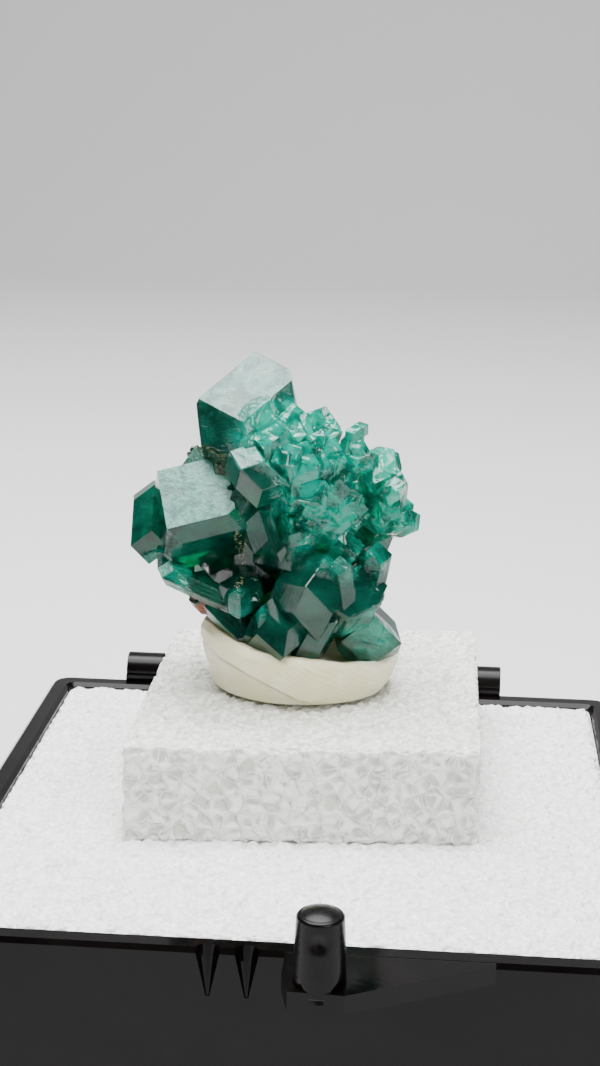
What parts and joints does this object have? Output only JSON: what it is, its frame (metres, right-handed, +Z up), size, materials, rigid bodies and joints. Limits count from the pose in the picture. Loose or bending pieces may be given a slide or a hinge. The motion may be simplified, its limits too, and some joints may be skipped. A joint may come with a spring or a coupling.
{
  "type": "dioptase crystal cluster in a display box",
  "caption": "Dioptase crystal cluster held by mineral putty on a white foam block, in the foam-lined black base of a small display box.",
  "frame": {"origin": "centre of the box base's underside", "axes": "+Z up out of the foam, -Y towards the latch side, +X to the right seen from the latch side"},
  "size_m": [0.0316, 0.0365, 0.0307],
  "materials": {
    "dioptase": "gloss",
    "mineral_tack": "satin",
    "foam_block": "matte",
    "foam_bed": "matte",
    "black_plastic": "gloss"
  },
  "bodies": {
    "root": {"dioptase_cluster": "dioptase", "mineral_tack": "mineral_tack", "foam_block": "foam_block", "foam_bed": "foam_bed", "box_base": "black_plastic"}
  },
  "joints": []
}
